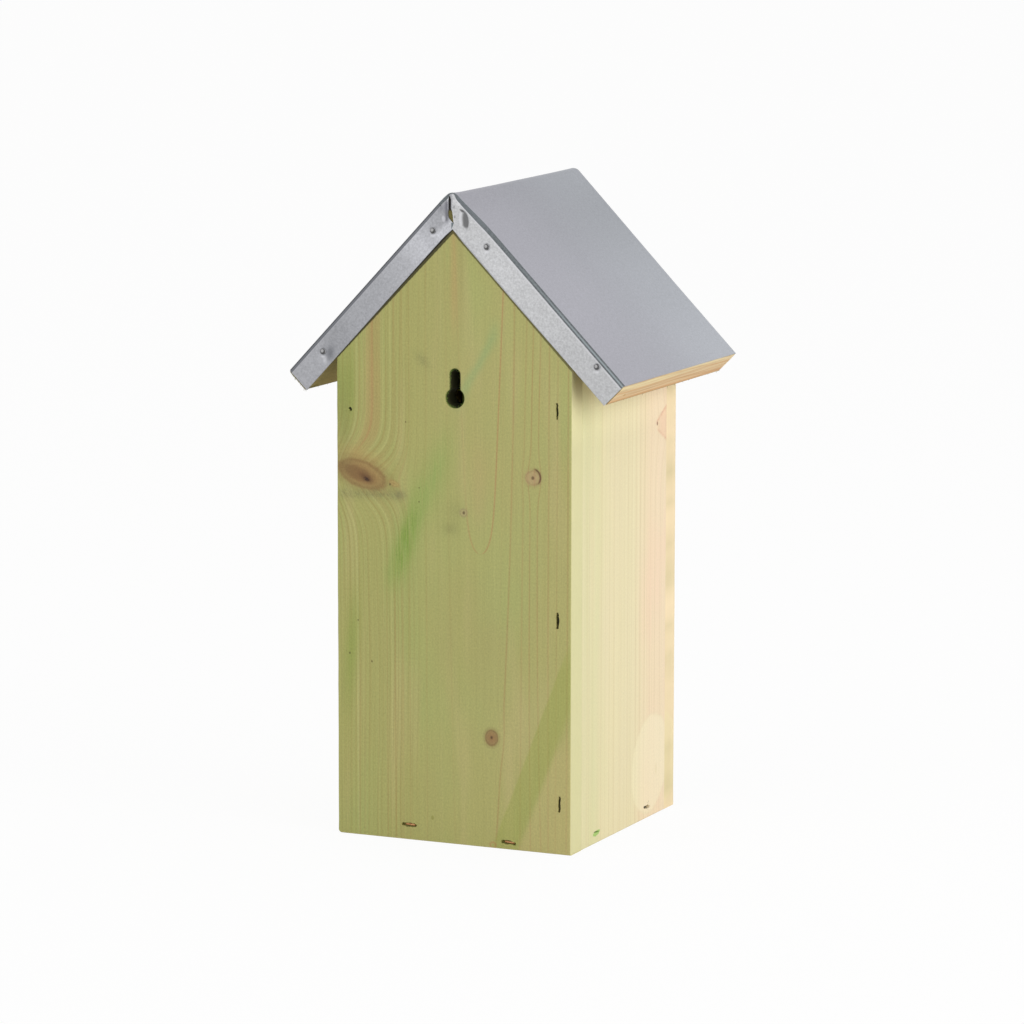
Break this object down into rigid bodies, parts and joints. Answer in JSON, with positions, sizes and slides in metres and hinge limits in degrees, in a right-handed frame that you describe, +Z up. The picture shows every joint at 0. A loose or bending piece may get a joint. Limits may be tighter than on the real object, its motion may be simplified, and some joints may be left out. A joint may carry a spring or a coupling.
{
  "type": "butterfly house",
  "caption": "Upright pine box with a pitched zinc-clad roof, narrow entrance slots for butterflies in front and a keyhole in the back for hanging it on a wall.",
  "frame": {"origin": "centre of the box's underside, midway between the outer faces of the four walls", "axes": "+Z up, -Y out of the front with the entrance slots, +Y out of the back that hangs on a wall, +X to the right for someone facing the front"},
  "size_m": [0.1714, 0.1401, 0.3079],
  "materials": {
    "panel_wood": "sawn pine with a green preservative tint",
    "side_wood": "planed pale pine",
    "roof_wood": "planed pine, sawn ends",
    "zinc": "dull folded zinc-coated sheet",
    "coppered_wire": "copper-washed staple wire",
    "nail_steel": "dull steel"
  },
  "bodies": {
    "root": {"back_panel": "panel_wood", "front_panel": "panel_wood", "left_side_panel": "side_wood", "right_side_panel": "side_wood", "floor_panel": "panel_wood", "left_roof_board": "roof_wood", "right_roof_board": "roof_wood", "zinc_roof_sheet": "zinc", "flange_nails": "nail_steel", "back_panel_staples": "coppered_wire", "front_panel_staples": "coppered_wire", "side_panel_staples": "coppered_wire", "roof_board_staples": "coppered_wire", "edge_brad": "nail_steel"}
  },
  "joints": []
}
